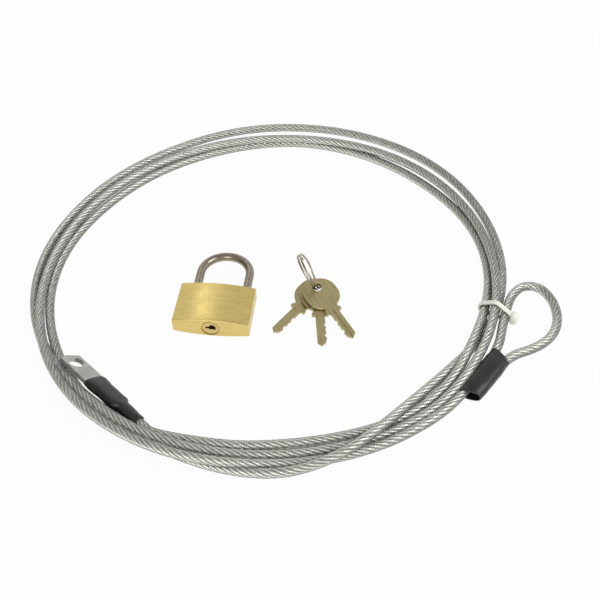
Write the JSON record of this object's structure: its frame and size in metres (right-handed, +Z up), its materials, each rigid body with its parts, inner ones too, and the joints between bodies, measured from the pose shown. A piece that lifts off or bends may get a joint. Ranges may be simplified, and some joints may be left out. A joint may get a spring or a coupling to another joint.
{
  "type": "laptop cable lock",
  "caption": "Coated wire rope coiled on a table, a fastening lug at one end and a tied eye at the other, with a small brass padlock and keys on a split ring.",
  "frame": {"origin": "on the table, under the middle of the box round the padlock and the keys", "axes": "+Z up from the table, +Y from the padlock's lower face towards its shackle as the padlock lies, turned by 6 degrees, +X to the right"},
  "size_m": [0.2334, 0.221, 0.0167],
  "materials": {
    "rope": "bright twisted wire under a clear plastic jacket",
    "galvanised": "dull galvanised",
    "ferrule": "pressed",
    "shrink": "black shrink sleeve, satin",
    "nylon": "natural nylon, milky",
    "brass": "brushed across",
    "steel": "polished",
    "spring": "drawn wire",
    "pin": "turned",
    "key": "nickel silver, brushed",
    "ring": "nickel plated"
  },
  "bodies": {
    "cable": {"cable_coil": "rope", "cable_eye": "rope", "eye_ferrule": "ferrule", "ferrule_cover": "shrink", "cable_lug": "galvanised", "lug_cover": "shrink", "cable_tie": "nylon"},
    "padlock": {"padlock_body": "brass", "heel_pin": "pin", "plug_pin": "pin", "bolt_bore_plug": "brass", "chamber_plugs": "brass", "shackle_spring": "spring", "bolt_spring": "spring", "pin_spring_1": "spring", "pin_spring_2": "spring", "pin_spring_3": "spring", "pin_spring_4": "spring"},
    "shackle": {"shackle": "steel"},
    "bolt": {"lock_bolt": "pin"},
    "plug": {"key_plug": "brass"},
    "ring": {"key_ring": "ring"},
    "key_pin_1": {"key_pin_1": "pin"},
    "driver_pin_1": {"driver_pin_1": "pin"},
    "key_pin_2": {"key_pin_2": "pin"},
    "driver_pin_2": {"driver_pin_2": "pin"},
    "key_pin_3": {"key_pin_3": "pin"},
    "driver_pin_3": {"driver_pin_3": "pin"},
    "key_pin_4": {"key_pin_4": "pin"},
    "driver_pin_4": {"driver_pin_4": "pin"},
    "key_1": {"key_1": "key"},
    "key_2": {"key_2": "key"},
    "key_3": {"key_3": "key"}
  },
  "joints": [
    {"name": "padlock_lift", "type": "slide", "parent": "cable", "child": "padlock", "axis": [0, 0, 1], "range_m": [0, 0.05]},
    {"name": "shackle_lift", "type": "slide", "parent": "padlock", "child": "shackle", "axis": [0.1045, 0.9945, 0], "range_m": [0, 0.007], "deforming": ["shackle_spring"]},
    {"name": "plug_turn", "type": "hinge", "parent": "padlock", "child": "plug", "pos_m": [-0.02224, -0.01877, 0.0048], "axis": [0.1045, 0.9945, 0], "range_deg": [0, 90]},
    {"name": "bolt_slide", "type": "slide", "parent": "padlock", "child": "bolt", "axis": [-0.9945, 0.1045, 0], "range_m": [0, 0.003], "deforming": ["bolt_spring"]},
    {"name": "ring_lift", "type": "slide", "parent": "cable", "child": "ring", "axis": [0, 0, 1], "range_m": [0, 0.05]},
    {"name": "key_pin_1_drop", "type": "slide", "parent": "plug", "child": "key_pin_1", "axis": [-0.9945, 0.1045, 0], "range_m": [0, 0.0008]},
    {"name": "driver_pin_1_push", "type": "slide", "parent": "padlock", "child": "driver_pin_1", "axis": [0.9945, -0.1045, 0], "range_m": [0, 0.001], "deforming": ["pin_spring_1"]},
    {"name": "key_pin_2_drop", "type": "slide", "parent": "plug", "child": "key_pin_2", "axis": [-0.9945, 0.1045, 0], "range_m": [0, 0.0008]},
    {"name": "driver_pin_2_push", "type": "slide", "parent": "padlock", "child": "driver_pin_2", "axis": [0.9945, -0.1045, 0], "range_m": [0, 0.001], "deforming": ["pin_spring_2"]},
    {"name": "key_pin_3_drop", "type": "slide", "parent": "plug", "child": "key_pin_3", "axis": [-0.9945, 0.1045, 0], "range_m": [0, 0.0008]},
    {"name": "driver_pin_3_push", "type": "slide", "parent": "padlock", "child": "driver_pin_3", "axis": [0.9945, -0.1045, 0], "range_m": [0, 0.001], "deforming": ["pin_spring_3"]},
    {"name": "key_pin_4_drop", "type": "slide", "parent": "plug", "child": "key_pin_4", "axis": [-0.9945, 0.1045, 0], "range_m": [0, 0.0008]},
    {"name": "driver_pin_4_push", "type": "slide", "parent": "padlock", "child": "driver_pin_4", "axis": [0.9945, -0.1045, 0], "range_m": [0, 0.001], "deforming": ["pin_spring_4"]},
    {"name": "key_1_turn", "type": "hinge", "parent": "ring", "child": "key_1", "pos_m": [0.02366, 0.00597, 0.003], "axis": [-0.0097, -0.0691, 0.9976], "range_deg": [-15, 15]},
    {"name": "key_2_turn", "type": "hinge", "parent": "ring", "child": "key_2", "pos_m": [0.02324, 0.00453, 0.00445], "axis": [-0.0097, -0.0691, 0.9976], "range_deg": [-15, 15]},
    {"name": "key_3_turn", "type": "hinge", "parent": "ring", "child": "key_3", "pos_m": [0.02268, 0.0036, 0.0059], "axis": [-0.0097, -0.0691, 0.9976], "range_deg": [-15, 15]}
  ],
  "couplings": [
    {"joint": "plug_turn", "follows": "shackle_lift", "rad_per_m": 224.4},
    {"joint": "bolt_slide", "follows": "shackle_lift", "ratio": 0.42857}
  ]
}
